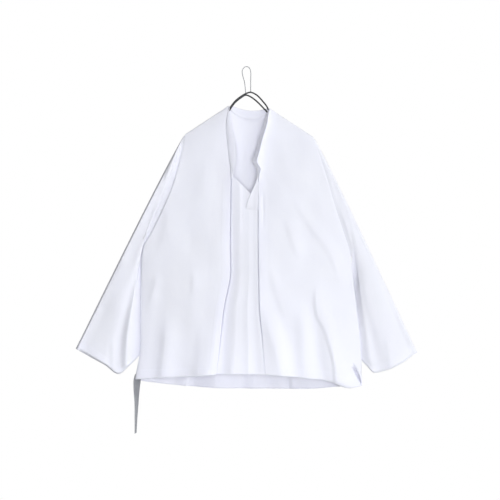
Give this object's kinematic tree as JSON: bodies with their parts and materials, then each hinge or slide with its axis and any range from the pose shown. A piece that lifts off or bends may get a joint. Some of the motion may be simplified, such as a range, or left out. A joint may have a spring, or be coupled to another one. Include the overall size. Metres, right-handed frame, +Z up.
{
  "type": "pullover tunic on a wire hanger",
  "caption": "Loose white long-sleeved pullover tunic with a deep V slit neck, narrow neckband, inverted centre pleat and side vents, hanging on a thin wire hanger.",
  "frame": {"origin": "inside top of the hanger's loop, where a hook carries the garment", "axes": "+Z up, -Y towards the viewer of the garment's front, +X to the right as seen from the front"},
  "size_m": [0.8874, 0.0906, 0.9536],
  "materials": {
    "white_cloth": "plain fine white cloth with a faint cool cast, matt",
    "grey_tape": "matt grey woven tape",
    "black_wire": "black painted steel wire, satin",
    "pale_wire": "thin pale steel wire"
  },
  "bodies": {
    "root": {"front_left": "white_cloth", "front_right": "white_cloth", "front_centre": "white_cloth", "neck_overlap": "white_cloth", "back": "white_cloth", "neckband_left": "white_cloth", "neckband_right": "white_cloth", "neckband_back": "white_cloth", "sleeve_left": "white_cloth", "sleeve_right": "white_cloth", "side_tie": "grey_tape", "hanger": "black_wire", "hang_loop": "pale_wire"}
  },
  "joints": []
}
